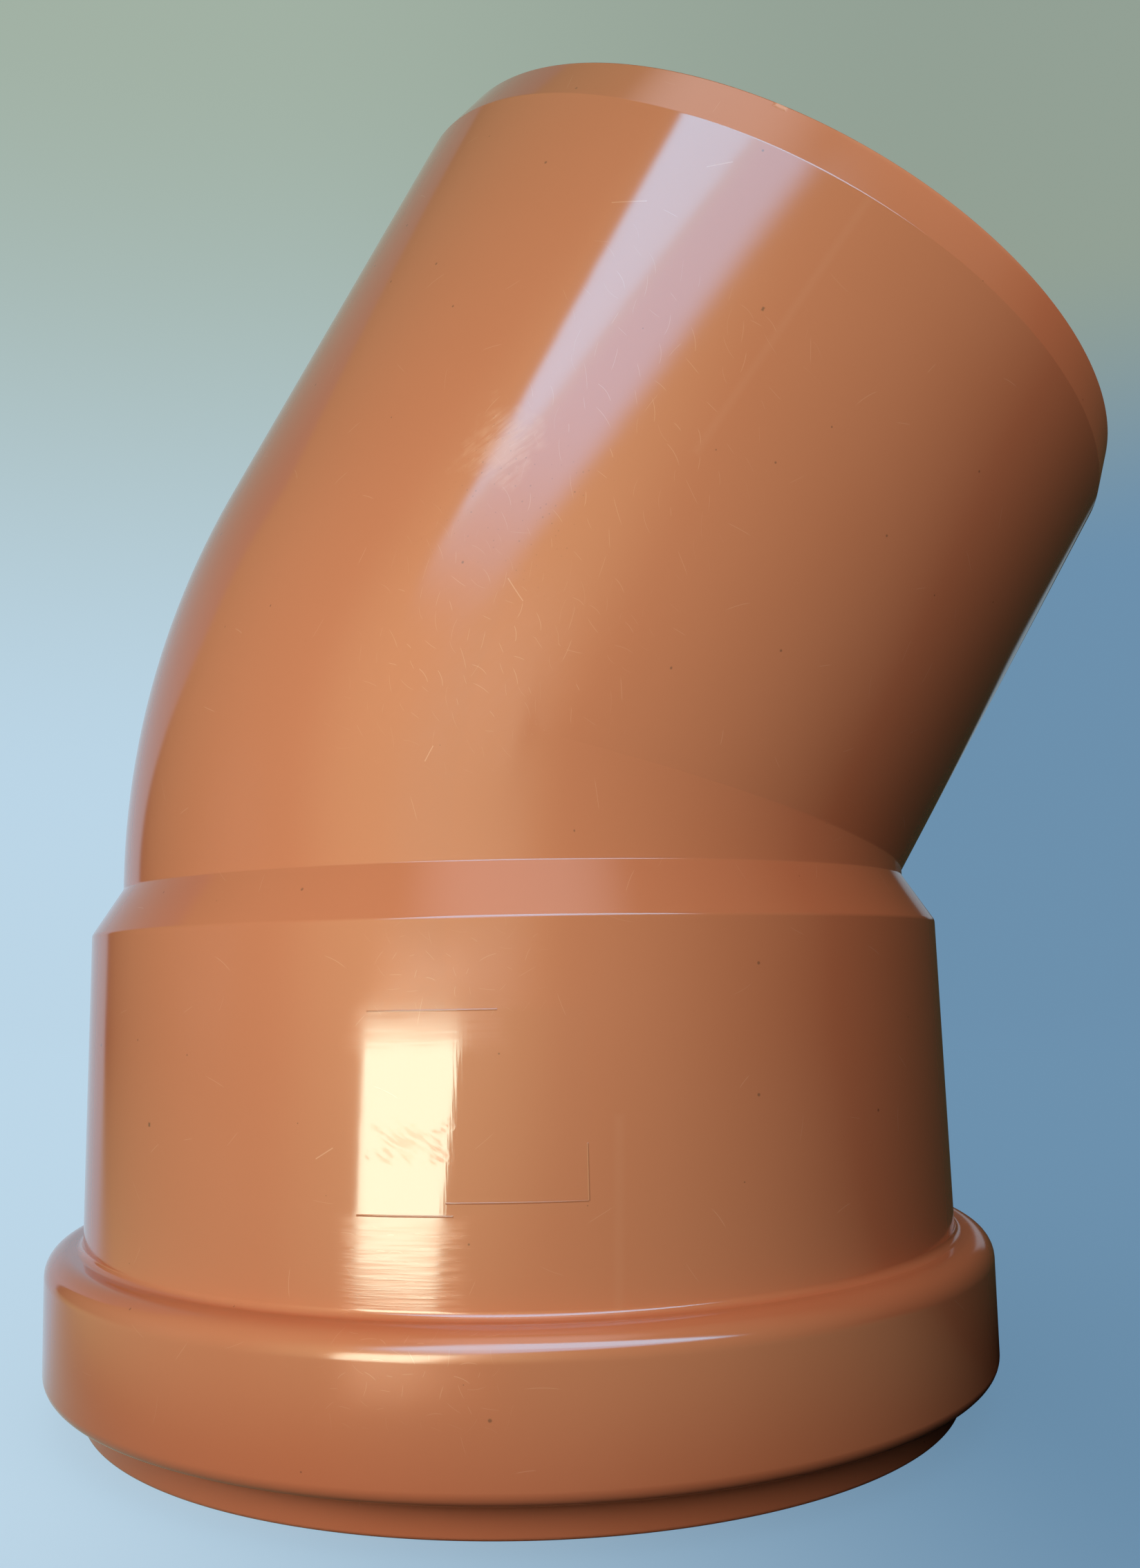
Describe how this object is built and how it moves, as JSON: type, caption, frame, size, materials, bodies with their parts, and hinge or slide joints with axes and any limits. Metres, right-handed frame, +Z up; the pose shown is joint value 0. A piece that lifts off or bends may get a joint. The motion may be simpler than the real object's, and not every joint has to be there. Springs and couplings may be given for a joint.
{
  "type": "pipe bend",
  "caption": "Push-fit drain pipe bend with a beaded socket at one end, a short swept elbow and a plain chamfered spigot at the other.",
  "frame": {"origin": "centre of the socket's mouth, in the plane of the mouth's flat face", "axes": "+Z up the socket's axis towards the bend; the bend lies in the XZ plane and the spigot leans towards +X; +Y completes the frame"},
  "size_m": [0.1499, 0.1288, 0.1781],
  "materials": {
    "moulded_pvc": "glossy injection-moulded surface, lightly scratched",
    "seal_rubber": "smooth black rubber"
  },
  "bodies": {
    "root": {"bend_body": "moulded_pvc", "sealing_ring": "seal_rubber"}
  },
  "joints": []
}
